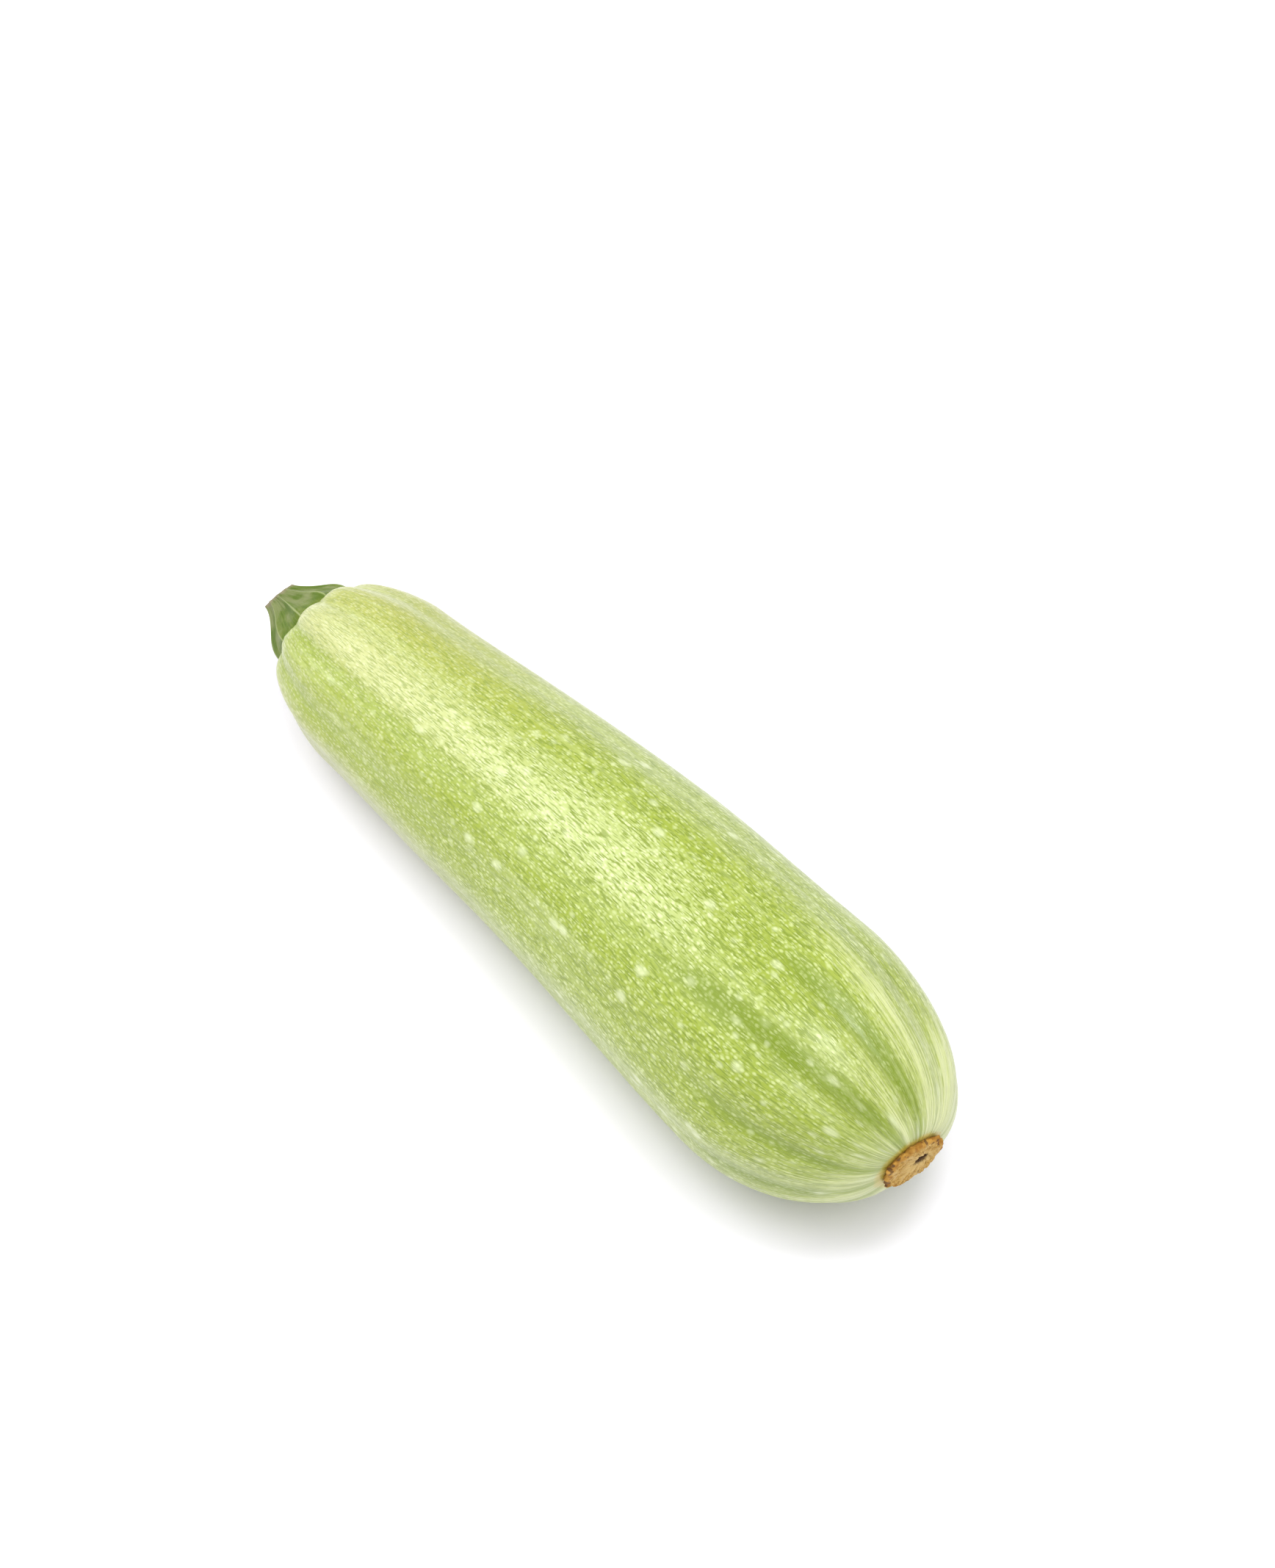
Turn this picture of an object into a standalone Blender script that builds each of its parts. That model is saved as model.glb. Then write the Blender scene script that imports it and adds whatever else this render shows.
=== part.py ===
"""A pale green zucchini lying on its belly, with its cut stem and its dry blossom scar.

Units are metres and +Z is up. The length runs along X, from the stem at -X to the blossom end at +X.
Three solids are made: the fruit, the stem and the blossom scar. A 0.3 mm gap parts each one from the fruit.
"""

import math

import bpy

# Driving dimensions of the fruit
FRUIT_LENGTH = 0.1864
BELLY_RADIUS = 0.029
NECK_RADIUS = 0.0176
JOINT_RADIUS = 0.0122          # fruit's end face under the stem
TIP_RADIUS = 0.0066            # fruit's end face under the scar
SWELL_FROM = -0.30             # the body widens between these shares of the length
SWELL_TO = 0.89
SHOULDER_LENGTH = 0.0200
SHOULDER_POWER = 1.7           # at 2 an end is round, and below 2 it slopes more
BLOSSOM_LENGTH = 0.0395
BLOSSOM_POWER = 1.95
BLOSSOM_UNEVEN = 0.17          # the end is flatter towards this angle and fuller away from it
FLATTER_TOWARDS = math.radians(10)

# How the fruit bends and lies
BOW = 0.00265                  # sideways arch of the middle line
WAVE = -0.00035                # its second, shorter wave
TIP_SIDE = 0.0010              # the blossom end sits a little to +Y and up
TIP_RISE = 0.0012
TIP_FROM = 0.70                # share of the length where that shift starts
END_RISE = 0.0021              # the underside lifts this much at the stem end
LOWEST_AT = 0.58               # share of the length where the underside is lowest
PRESSED = 0.0006               # depth of the flat spot that the weight presses
FACE_SIDE = 0.12               # the blossom face is turned a little towards -Y
FACE_DOWN = 0.07               # and down
TURN_FROM = 0.75               # share of the length where the sections start to turn with it
STEM_TURN_TO = 0.20            # from the stem's straight face, sections lean with the middle line
LEAN_STEP = 0.002              # share of the length over which that lean is measured

# Ten low ribs, parted by furrows that start at these angles about the length, from +Y up over the top
FURROW_ANGLES = [math.radians(a) for a in (18, 56, 93, 127, 160, 193, 225, 257, 293, 335)]
EVEN_RIB = math.radians(36)
TWIST = math.radians(-6)       # how far the furrows wind from the stem to the blossom end
RIB_HEIGHT = 0.00055
RIB_ROUNDNESS = 1.3            # at 1 the furrows are sharp, and above it they soften
RIB_MEAN = 0.6                 # share of a rib's height that lies under the mean radius
SHOULDER_RIB = 0.0008          # extra height of the ribs on the shoulder
SHOULDER_RIB_FADE = (0.003, 0.035)
BLOSSOM_RIB = 0.0006           # and where they draw together at the blossom end
BLOSSOM_RIB_RISE = (0.72, 0.90)
BLOSSOM_RIB_FADE = (0.93, 1.0)
FADED_RIB = 0.15               # share of the blossom ribs that reaches the scar

# Stem: a short ten-cornered stub that flares to its foot, with its cut slanting back at the top
GAP = 0.0003
STEM_LENGTH = 0.0141
STEM_FOOT_RADIUS = 0.0116
STEM_CUT_RADIUS = 0.0039
STEM_FLARE = 1.45              # at 1 the flare is a quarter wave, and above it the cut end is more slender
STEM_SIDE = -0.0014            # the cut's middle, from the foot's middle
STEM_RISE = 0.0010
SLANT_SIDE = -0.05             # how far the cut leans along X for each metre along Y, and along Z
SLANT_UP = 0.50
STEM_CORNERS = 10
FIRST_CORNER = math.radians(9)
STEM_HOLLOW = 0.0008           # how far the pith has shrunk into the cut
CORNER_AT_FOOT = 0.03          # how far the corners stand out, as a share of the radius
CORNER_AT_CUT = 0.09
CORNER_FROM_HALF = 0.5         # share of the length by which they stand out in full
CORNER_CREASE = 0.9            # below 1 the corners are crisper than the hollows
CUT_RINGS = ((0.86, 0.0), (0.60, 0.4), (0.30, 1.0))    # share of the cut's radius and of the hollow

# Blossom scar: a corky disc with a ragged rim and a pit
SCAR_RADIUS = 0.0072
SCAR_HEIGHT = 0.0014
SCAR_PIT = 0.0010
# Waves of the ragged rim: how many go round, how deep as a share of the radius, and where they start
SCAR_WAVES = ((3, 0.030, 0.6), (7, 0.028, 2.1), (13, 0.022, 4.0), (19, 0.016, 0.0))
SCAR_LOBES = 5                 # soft swellings of the rim's height
SCAR_LOBE = 0.10
# From the underside over the rim into the pit: share of the radius, of the height and of the waves
SCAR_PROFILE = (
    (0.93, 0.00, 0.6),
    (1.00, 0.30, 1.0),
    (0.97, 0.70, 1.0),
    (0.88, 0.92, 0.8),
    (0.76, 1.00, 0.5),
    (0.58, 0.86, 0.3),
    (0.40, 0.78, 0.2),
    (0.28, 0.70, 0.2),
    (0.17, 0.40, 0.1),
)

# Mesh fineness
RINGS = 64
FACES_PER_RIB = 6
STEM_RINGS = 16
STEM_FACES_PER_SIDE = 6
SCAR_FACES = 60
CROWDING = 0.76                # 0 spaces the fruit's rings evenly, and near 1 they crowd at its ends
SHARP_EDGE = math.radians(50)


def blend(value, start, end):
    """Rises smoothly from 0 at start to 1 at end."""
    t = min(max((value - start) / (end - start), 0.0), 1.0)
    return t * t * (3.0 - 2.0 * t)


def quarter_round(t, power):
    """A quarter of a superellipse, from 0 at t = 0 to 1 at t = 1."""
    return (1.0 - (1.0 - t) ** power) ** (1.0 / power)


def trunk_radius(share):
    """Radius of the body without its two ends."""
    return NECK_RADIUS + (BELLY_RADIUS - NECK_RADIUS) * blend(share, SWELL_FROM, SWELL_TO)


def fruit_radius(share, angle):
    """Radius of the fruit under its ribs, at a share of its length and an angle about it."""
    trunk = trunk_radius(share)
    from_stem = share * FRUIT_LENGTH
    from_tip = FRUIT_LENGTH - from_stem
    if from_stem < SHOULDER_LENGTH:
        rounding = quarter_round(from_stem / SHOULDER_LENGTH, SHOULDER_POWER)
        return JOINT_RADIUS + (trunk - JOINT_RADIUS) * rounding
    if from_tip < BLOSSOM_LENGTH:
        power = BLOSSOM_POWER - BLOSSOM_UNEVEN * math.cos(angle - FLATTER_TOWARDS)
        rounding = quarter_round(from_tip / BLOSSOM_LENGTH, power)
        return TIP_RADIUS + (trunk - TIP_RADIUS) * rounding
    return trunk


def rib_height(share):
    """Height of the ribs over their furrows along the length."""
    from_stem = share * FRUIT_LENGTH
    at_shoulder = 1.0 - blend(from_stem, *SHOULDER_RIB_FADE)
    faded = 1.0 - (1.0 - FADED_RIB) * blend(share, *BLOSSOM_RIB_FADE)
    at_blossom = blend(share, *BLOSSOM_RIB_RISE) * faded
    return RIB_HEIGHT * (0.5 + 0.5 * faded) + SHOULDER_RIB * at_shoulder + BLOSSOM_RIB * at_blossom


def rib_columns():
    """Angles around the section at the stem, some to each rib, and the rib's arch at each of them."""
    columns = []
    for i, start in enumerate(FURROW_ANGLES):
        end = FURROW_ANGLES[(i + 1) % len(FURROW_ANGLES)]
        width = (end - start) % math.tau
        for k in range(FACES_PER_RIB):
            t = k / FACES_PER_RIB
            arch = (math.sin(math.pi * t) ** RIB_ROUNDNESS - RIB_MEAN) * math.sqrt(width / EVEN_RIB)
            columns.append((start + width * t, arch))
    return columns


def middle_line(share):
    """Point of the fruit's middle line, before the flat spot is pressed."""
    x = (share - 0.5) * FRUIT_LENGTH
    to_tip = blend(share, TIP_FROM, 1.0)
    y = BOW * math.sin(math.pi * share) + WAVE * math.sin(3.0 * math.pi * share) + TIP_SIDE * to_tip
    underside = END_RISE * ((share - LOWEST_AT) / LOWEST_AT) ** 2
    z = trunk_radius(share) + underside + TIP_RISE * to_tip - PRESSED
    return x, y, z


def section_lean(share):
    """How far a section leans along X for each metre off the middle line, along Y and along Z."""
    low = middle_line(max(share - LEAN_STEP, 0.0))
    high = middle_line(min(share + LEAN_STEP, 1.0))
    run = high[0] - low[0]
    to_tip = blend(share, TURN_FROM, 1.0)
    with_line = blend(share, 0.0, STEM_TURN_TO) * (1.0 - to_tip)
    side = (high[1] - low[1]) / run * with_line - FACE_SIDE * to_tip
    rise = (high[2] - low[2]) / run * with_line - FACE_DOWN * to_tip
    return side, rise


def crowded_shares(count):
    """Shares of the length from 0 to 1, closer together at both ends."""
    even = [i / count for i in range(count + 1)]
    return [t - CROWDING * math.sin(math.tau * t) / math.tau for t in even]


def solid_from_rings(name, rings, start_point, end_point, material):
    """A closed body: rings of points joined by triangles, with a fan of triangles at each end."""
    around = len(rings[0])
    points = [point for ring in rings for point in ring] + [start_point, end_point]
    faces = []
    for r in range(len(rings) - 1):
        low = r * around
        high = low + around
        for k in range(around):
            n = (k + 1) % around
            faces.append((low + k, low + n, high + n))
            faces.append((low + k, high + n, high + k))
    last = (len(rings) - 1) * around
    for k in range(around):
        n = (k + 1) % around
        faces.append((len(points) - 2, n, k))
        faces.append((len(points) - 1, last + k, last + n))
    mesh = bpy.data.meshes.new(name)
    mesh.from_pydata(points, [], faces)
    mesh.update()
    mesh.shade_smooth()
    mesh.set_sharp_from_angle(angle=SHARP_EDGE)
    mesh.materials.append(material)
    solid = bpy.data.objects.new(name, mesh)
    bpy.context.scene.collection.objects.link(solid)
    return solid


def plain_material(name, colour, roughness):
    """A Principled material of one colour."""
    material = bpy.data.materials.new(name)
    material.use_nodes = True
    shader = material.node_tree.nodes["Principled BSDF"]
    shader.inputs["Base Color"].default_value = (*colour, 1.0)
    shader.inputs["Roughness"].default_value = roughness
    shader.inputs["Metallic"].default_value = 0.0
    return material


def make_fruit():
    """The ribbed body, with a flat face at each end and a flat spot beneath."""
    columns = rib_columns()
    rings = []
    for share in crowded_shares(RINGS):
        height = rib_height(share)
        x, y, z = middle_line(share)
        side, rise = section_lean(share)
        ring = []
        for first_angle, arch in columns:
            angle = first_angle + TWIST * share
            out = fruit_radius(share, angle) + height * arch
            off_y = out * math.cos(angle)
            off_z = out * math.sin(angle)
            ring.append((x - side * off_y - rise * off_z, y + off_y, max(z + off_z, 0.0)))
        rings.append(ring)
    skin = plain_material("pale_green_skin", (0.50, 0.60, 0.22), 0.42)
    return solid_from_rings("fruit", rings, middle_line(0.0), middle_line(1.0), skin)


def stem_profile():
    """Share of the stem's length and radius, from the foot to the cut."""
    profile = []
    for i in range(STEM_RINGS + 1):
        t = i / STEM_RINGS
        flare = math.sin(0.5 * math.pi * (1.0 - t)) ** STEM_FLARE
        profile.append((t, STEM_CUT_RADIUS + (STEM_FOOT_RADIUS - STEM_CUT_RADIUS) * flare))
    return profile


def stem_corner_arch(angle):
    """1 on the corners, falling to -1 in the hollows between them."""
    wave = math.sin(0.5 * STEM_CORNERS * (angle - FIRST_CORNER))
    return 1.0 - 2.0 * abs(wave) ** CORNER_CREASE


def stem_point(foot, t, radius, angle, sunk=0.0):
    """A point of the stem's skin, t along it, with the slant growing towards the cut."""
    off_y = radius * math.cos(angle)
    off_z = radius * math.sin(angle)
    slant = SLANT_SIDE * off_y + SLANT_UP * off_z
    x = foot[0] - GAP - STEM_LENGTH * t + sunk + slant * t
    return x, foot[1] + STEM_SIDE * t * t + off_y, foot[2] + STEM_RISE * t * t + off_z


def stem_ring(foot, t, radius, corner, sunk=0.0):
    """A ring of the stem, run backwards because the stem grows towards -X."""
    around = STEM_CORNERS * STEM_FACES_PER_SIDE
    ring = []
    for k in range(around, 0, -1):
        angle = FIRST_CORNER + math.tau * k / around
        out = radius * (1.0 + corner * stem_corner_arch(angle))
        ring.append(stem_point(foot, t, out, angle, sunk))
    return ring


def make_stem():
    """The cut stalk: corners and hollows from the flared foot up to the slanting, sunken cut."""
    foot = middle_line(0.0)
    rings = []
    for t, radius in stem_profile():
        grown = blend(t, 0.0, CORNER_FROM_HALF)
        corner = CORNER_AT_FOOT + (CORNER_AT_CUT - CORNER_AT_FOOT) * grown
        rings.append(stem_ring(foot, t, radius, corner))
    for inset, hollow in CUT_RINGS:
        corner = CORNER_AT_CUT * inset
        rings.append(stem_ring(foot, 1.0, STEM_CUT_RADIUS * inset, corner, STEM_HOLLOW * hollow))
    start = stem_point(foot, 0.0, 0.0, 0.0)
    end = stem_point(foot, 1.0, 0.0, 0.0, STEM_HOLLOW)
    green = plain_material("stem_green", (0.20, 0.27, 0.12), 0.60)
    return solid_from_rings("stem", rings, start, end, green)


def ragged_edge(angle):
    """How far the scar's rim stands out of its round or back from it, as a share of the radius."""
    return sum(depth * math.sin(count * angle + start) for count, depth, start in SCAR_WAVES)


def scar_point(tip, radius, height, angle):
    """A point over the fruit's blossom face, at a radius and height from it."""
    off_y = radius * math.cos(angle)
    off_z = radius * math.sin(angle)
    return (
        tip[0] + GAP + height + FACE_SIDE * off_y + FACE_DOWN * off_z,
        tip[1] + off_y - FACE_SIDE * height,
        tip[2] + off_z - FACE_DOWN * height,
    )


def make_scar():
    """The corky disc left by the flower: ragged rim, raised ring inside it, and a pit."""
    tip = middle_line(1.0)
    angles = [math.tau * k / SCAR_FACES for k in range(SCAR_FACES)]
    rings = []
    for share, height, ragged in SCAR_PROFILE:
        ring = []
        for angle in angles:
            radius = SCAR_RADIUS * share * (1.0 + ragged * ragged_edge(angle))
            lobe = 1.0 + SCAR_LOBE * share * math.sin(SCAR_LOBES * angle)
            ring.append(scar_point(tip, radius, SCAR_HEIGHT * height * lobe, angle))
        rings.append(ring)
    cork = plain_material("dry_cork", (0.60, 0.36, 0.14), 0.85)
    bottom = scar_point(tip, 0.0, 0.0, 0.0)
    pit = scar_point(tip, 0.0, SCAR_HEIGHT - SCAR_PIT, 0.0)
    return solid_from_rings("blossom_scar", rings, bottom, pit, cork)


def clear_scene():
    """Starts from an empty scene."""
    for thing in list(bpy.data.objects):
        bpy.data.objects.remove(thing, do_unlink=True)


def place_on_origin(solids):
    """Hangs the solids on an empty, and moves it so that the box's bottom centre is the origin."""
    corners = [vertex.co for solid in solids for vertex in solid.data.vertices]
    middle_x = (min(c.x for c in corners) + max(c.x for c in corners)) / 2.0
    middle_y = (min(c.y for c in corners) + max(c.y for c in corners)) / 2.0
    holder = bpy.data.objects.new("zucchini", None)
    bpy.context.scene.collection.objects.link(holder)
    for solid in solids:
        solid.parent = holder
    holder.location = (-middle_x, -middle_y, 0.0)


clear_scene()
place_on_origin([make_fruit(), make_stem(), make_scar()])
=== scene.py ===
# %% [markdown]
# # A pale green zucchini, lying on its belly
#
# This lesson dresses a plain model of a zucchini. The model has three solids: the fruit, the cut stem and the corky
# scar where the flower sat. Its ribs, its bow and its flat spot are right, but its faces are coarse and its colours
# are single ones. Here each solid gets a finer twin, made from the same rules, and a finish built from shader nodes.
#
# The first cell loads the model and keeps its box, because nothing made here may stick out of it. Lengths are in
# metres, and X runs along the fruit, from the stem to the scar.

# %% Load the model
import math

import bpy
import numpy as np
from mathutils import Matrix, Vector


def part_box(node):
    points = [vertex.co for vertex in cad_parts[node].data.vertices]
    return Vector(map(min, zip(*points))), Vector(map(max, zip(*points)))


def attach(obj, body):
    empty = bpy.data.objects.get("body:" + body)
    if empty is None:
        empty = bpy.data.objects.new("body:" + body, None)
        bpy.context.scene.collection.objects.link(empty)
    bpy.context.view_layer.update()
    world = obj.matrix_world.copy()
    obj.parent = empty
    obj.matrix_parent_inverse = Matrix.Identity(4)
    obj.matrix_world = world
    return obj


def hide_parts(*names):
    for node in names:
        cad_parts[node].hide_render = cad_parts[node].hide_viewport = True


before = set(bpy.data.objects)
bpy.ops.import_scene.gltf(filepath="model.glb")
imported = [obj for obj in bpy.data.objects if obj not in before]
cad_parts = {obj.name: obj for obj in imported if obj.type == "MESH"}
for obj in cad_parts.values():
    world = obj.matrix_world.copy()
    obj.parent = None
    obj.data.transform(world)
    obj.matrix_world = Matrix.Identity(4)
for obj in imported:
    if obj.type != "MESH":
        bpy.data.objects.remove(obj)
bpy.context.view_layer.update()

# %% [markdown]
# ## Camera
#
# The picture was taken from the right of the blossom end, looking down at 55 degrees, with a long lens that hardly
# narrows the far end. A camera is easiest to place by the point that it looks at, its two angles and its distance:
# the two angles turn into a direction, and the camera sits along it.

# %% The camera
LOOKS_AT = Vector((-0.0051, 0.0199, 0.0290))
CAMERA_TURN = math.radians(48.57)
CAMERA_HEIGHT = math.radians(55.0)
CAMERA_DISTANCE = 0.7917
LENS = 85.0


def turned_direction(turn, height):
    """Unit vector from the object, turned about Z from -Y towards +X, and raised above the floor."""
    flat = math.cos(height)
    return Vector((math.sin(turn) * flat, -math.cos(turn) * flat, math.sin(height)))


def aimed_matrix(location, target):
    """Stands a camera or a lamp at a location, looking at the target, with its top upwards."""
    back = (location - target).normalized()
    right = Vector((0.0, 0.0, 1.0)).cross(back).normalized()
    axes = Matrix((right, back.cross(right), back)).transposed()
    return Matrix.Translation(location) @ axes.to_4x4()


camera_data = bpy.data.cameras.new("camera")
camera_data.lens = LENS
camera = bpy.data.objects.new("camera", camera_data)
bpy.context.scene.collection.objects.link(camera)
camera.matrix_world = aimed_matrix(
    LOOKS_AT + CAMERA_DISTANCE * turned_direction(CAMERA_TURN, CAMERA_HEIGHT), LOOKS_AT)
bpy.context.scene.camera = camera
print("camera at", [round(c, 3) for c in camera.location])

# %% [markdown]
# ## Tools for surfaces
#
# All three pieces are bodies swept along a line, so one helper makes them all: it takes a grid of points, ring after
# ring, joins them with quads and closes both ends with a fan. Numbers that the finish needs later, such as how deep a
# point lies in a furrow, are stored on the points as named attributes. A node can read them by name.

# %% Helpers for meshes
TURN = 2.0 * math.pi


def ease(value, start, end):
    """Rises smoothly from 0 at start to 1 at end."""
    t = np.clip((value - start) / (end - start), 0.0, 1.0)
    return t * t * (3.0 - 2.0 * t)


def ripples(share, angle, waves, around, along, seed):
    """Irregular waves that close on themselves: a sum of sines, with so many about the body and along it."""
    draw = np.random.default_rng(seed)
    total = np.zeros(np.broadcast(share, angle).shape)
    for _ in range(waves):
        count = draw.integers(around[0], around[1] + 1)
        drift = draw.uniform(-1.0, 1.0) * along
        total = total + np.sin(count * angle + TURN * drift * share + draw.uniform(0.0, TURN))
    return total / math.sqrt(waves)


def swept_piece(name, grid, start, end, attributes):
    """A closed mesh from a grid of points (rings, columns, 3) and the two points that close it."""
    rings, columns = grid.shape[:2]
    points = np.concatenate([grid.reshape(-1, 3), [start, end]])
    low = np.arange(rings * columns).reshape(rings, columns)
    side = np.roll(low, -1, axis=1)
    quads = np.stack([low[:-1], side[:-1], side[1:], low[1:]], axis=-1).reshape(-1, 4)
    first = [(rings * columns, b, a) for a, b in zip(low[0], side[0])]
    last = [(rings * columns + 1, a, b) for a, b in zip(low[-1], side[-1])]
    mesh = bpy.data.meshes.new(name)
    mesh.from_pydata(points.tolist(), [], quads.tolist() + first + last)
    for label, values in attributes.items():
        kind = "FLOAT_VECTOR" if values.ndim == 3 else "FLOAT"
        flat = values.reshape(rings * columns, -1)
        flat = np.concatenate([flat, flat[:1], flat[-1:]]).astype(np.float32)
        stored = mesh.attributes.new(label, kind, "POINT")
        stored.data.foreach_set("vector" if values.ndim == 3 else "value", flat.ravel())
    mesh.shade_smooth()
    mesh.update()
    piece = bpy.data.objects.new(name, mesh)
    bpy.context.scene.collection.objects.link(piece)
    print(name, "has", sum(len(face.vertices) - 2 for face in mesh.polygons), "triangles")
    return piece


# %% [markdown]
# ## Shape of the fruit
#
# A zucchini is a rod that widens from neck to belly, rounds off quickly at the shoulder under the stem, and more
# slowly at the blossom end. Ten low ribs run its length. The rules below are those of the plain model, written for
# whole arrays: a share along the length and an angle about it give a radius, and the middle line gives its place.

# %% The fruit's radius and ribs
FRUIT_LENGTH = 0.1864
BELLY_RADIUS, NECK_RADIUS, JOINT_RADIUS, TIP_RADIUS = 0.029, 0.0176, 0.0122, 0.0066
SHOULDER_LENGTH, SHOULDER_POWER = 0.0200, 1.7
BLOSSOM_LENGTH, BLOSSOM_POWER = 0.0395, 1.95
WIDENS_FROM, WIDENS_TO = -0.30, 0.89       # shares of the length; the widening starts before the fruit does
FLATTER_BY, FLATTER_SIDE = 0.17, math.radians(10)
FURROWS = np.radians([18, 56, 93, 127, 160, 193, 225, 257, 293, 335])
TWIST = math.radians(-6)
RIB, SHOULDER_RIB, BLOSSOM_RIB = 0.00055, 0.0008, 0.0006


def rounding(t, power):
    """A quarter of a superellipse, from 0 to 1."""
    return (1.0 - (1.0 - np.clip(t, 0.0, 1.0)) ** power) ** (1.0 / power)


def trunk_radius(share):
    """Radius of the body without its two ends."""
    return NECK_RADIUS + (BELLY_RADIUS - NECK_RADIUS) * ease(share, WIDENS_FROM, WIDENS_TO)


def fruit_radius(share, angle):
    """Radius under the ribs. The blossom end is a little flatter on one side."""
    trunk = trunk_radius(share)
    power = BLOSSOM_POWER - FLATTER_BY * np.cos(angle - FLATTER_SIDE)
    shoulder = rounding(share * FRUIT_LENGTH / SHOULDER_LENGTH, SHOULDER_POWER)
    blossom = rounding((1.0 - share) * FRUIT_LENGTH / BLOSSOM_LENGTH, power)
    at_stem = JOINT_RADIUS + (trunk - JOINT_RADIUS) * shoulder
    at_tip = TIP_RADIUS + (trunk - TIP_RADIUS) * blossom
    return np.minimum(at_stem, at_tip)


def rib_height(share):
    """Height of the ribs over their furrows: strong on the shoulder, and where they draw together at the tip."""
    at_shoulder = 1.0 - ease(share * FRUIT_LENGTH, 0.003, 0.035)
    faded = 1.0 - 0.85 * ease(share, 0.93, 1.0)
    return RIB * (0.5 + 0.5 * faded) + SHOULDER_RIB * at_shoulder + BLOSSOM_RIB * ease(share, 0.72, 0.90) * faded


def rib_arch(share, angle):
    """How far a rib stands out, from -0.6 in a furrow to 0.4 on a crest of even width. The ribs wind a little."""
    angle = (angle - TWIST * share) % TURN
    index = np.searchsorted(FURROWS, angle, side="right") - 1
    start = FURROWS[index]
    width = (FURROWS[(index + 1) % len(FURROWS)] - start) % TURN
    t = ((angle - start) % TURN) / width
    return (np.sin(math.pi * np.clip(t, 0.0, 1.0)) ** 1.3 - 0.6) * np.sqrt(width / math.radians(36))


# %% [markdown]
# The middle line bows a little to one side. The rings at the stem stay square to it, and those at the blossom end
# turn with the scar's face. The underside is cut off at the floor, where the weight has pressed it flat.

# %% The fruit's middle line and its points
BOW, WAVE, PRESSED = 0.00265, -0.00035, 0.0006
LOWEST_AT, ENDS_RISE = 0.58, 0.0021
TIP_SIDE, TIP_RISE = 0.0010, 0.0012
FACE_SIDE, FACE_DOWN = 0.12, 0.07          # how far the scar's face leans


def middle_line(share):
    """Points of the middle line, before they are moved to the model's origin."""
    to_tip = ease(share, 0.70, 1.0)
    side = BOW * np.sin(math.pi * share) + WAVE * np.sin(3.0 * math.pi * share) + TIP_SIDE * to_tip
    rise = trunk_radius(share) + ENDS_RISE * ((share - LOWEST_AT) / LOWEST_AT) ** 2 + TIP_RISE * to_tip - PRESSED
    return np.stack([(share - 0.5) * FRUIT_LENGTH, side, rise], axis=-1)


def fruit_points(share, angle, radius):
    """Points at a radius from the middle line, on rings that lean with it."""
    line = middle_line(share)
    run = middle_line(np.minimum(share + 0.002, 1.0)) - middle_line(np.maximum(share - 0.002, 0.0))
    to_tip = ease(share, 0.75, 1.0)
    with_line = ease(share, 0.0, 0.20) * (1.0 - to_tip)
    side = run[..., 1] / run[..., 0] * with_line - FACE_SIDE * to_tip
    rise = run[..., 2] / run[..., 0] * with_line - FACE_DOWN * to_tip
    off_y, off_z = radius * np.cos(angle), radius * np.sin(angle)
    return line + np.stack([-side * off_y - rise * off_z, off_y, off_z], axis=-1)


# %% [markdown]
# The finer twin also carries what a hand would feel: fine creases that run into the scar and over the shoulder, and
# a skin that is never quite even. They are a tenth of a millimetre deep, but they break up the reflections.
# The twin is then moved onto the model's own fruit and trimmed to its box.

# %% The fruit
RINGS, COLUMNS = 410, 236    # with the end rings just under 200,000 triangles
END_RINGS = 6              # rings that carry each end inwards, to its middle
CROWDING = 0.72            # 0 spaces the rings evenly, and near 1 they crowd at the two ends
CREASE_ALL, CREASE_TIP, CREASE_SHOULDER, UNEVEN = 0.000012, 0.000060, 0.000050, 0.000070
FRUIT_SPARE = 0.00005      # drawn in by this, so that the relief stays in the box

even = np.linspace(0.0, 1.0, RINGS)
share = (even - CROWDING * np.sin(TURN * even) / TURN)[:, None]
angle = np.linspace(0.0, TURN, COLUMNS, endpoint=False)[None, :]

creases = ripples(share, angle, 26, (24, 70), 3.0, seed=5)
uneven = ripples(share, angle, 12, (2, 7), 6.0, seed=8)
creasing = CREASE_TIP * ease(share, 0.80, 0.97) + CREASE_SHOULDER * (1.0 - ease(share, 0.02, 0.12)) + CREASE_ALL
relief = creasing * creases + UNEVEN * uneven * ease(share, 0.0, 0.1) * (1.0 - ease(share, 0.9, 1.0))
radius = fruit_radius(share, angle) + rib_height(share) * rib_arch(share, angle) + relief - FRUIT_SPARE
grid = fruit_points(share + 0.0 * angle, angle + 0.0 * share, radius)

inward = np.linspace(0.92, 0.15, END_RINGS)[:, None, None]
stem_face, tip_face = middle_line(np.array(0.0)), middle_line(np.array(1.0))
grid = np.concatenate([stem_face + (grid[0] - stem_face) * inward[::-1], grid,
                       tip_face + (grid[-1] - tip_face) * inward])

cad_low, cad_high = (np.array(corner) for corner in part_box("fruit"))
TO_MODEL = (cad_low + cad_high) / 2.0 - (grid.min(axis=(0, 1)) + grid.max(axis=(0, 1))) / 2.0
TO_MODEL[2] = 0.0
grid = np.clip(grid + TO_MODEL, cad_low, cad_high)
print("moved by, in mm", (1000 * TO_MODEL).round(3))

# %% [markdown]
# The skin's colour follows the ribs. Green bands lie along the furrows and grow stronger towards the blossom end, and
# some crests carry a pale strip there. Each band is one row of a table, because no two are alike.

# %% Green bands and pale strips
SHARES = np.concatenate([np.zeros((END_RINGS, 1)), share, np.ones((END_RINGS, 1))]) + 0.0 * angle
ANGLES = angle + 0.0 * SHARES

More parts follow.
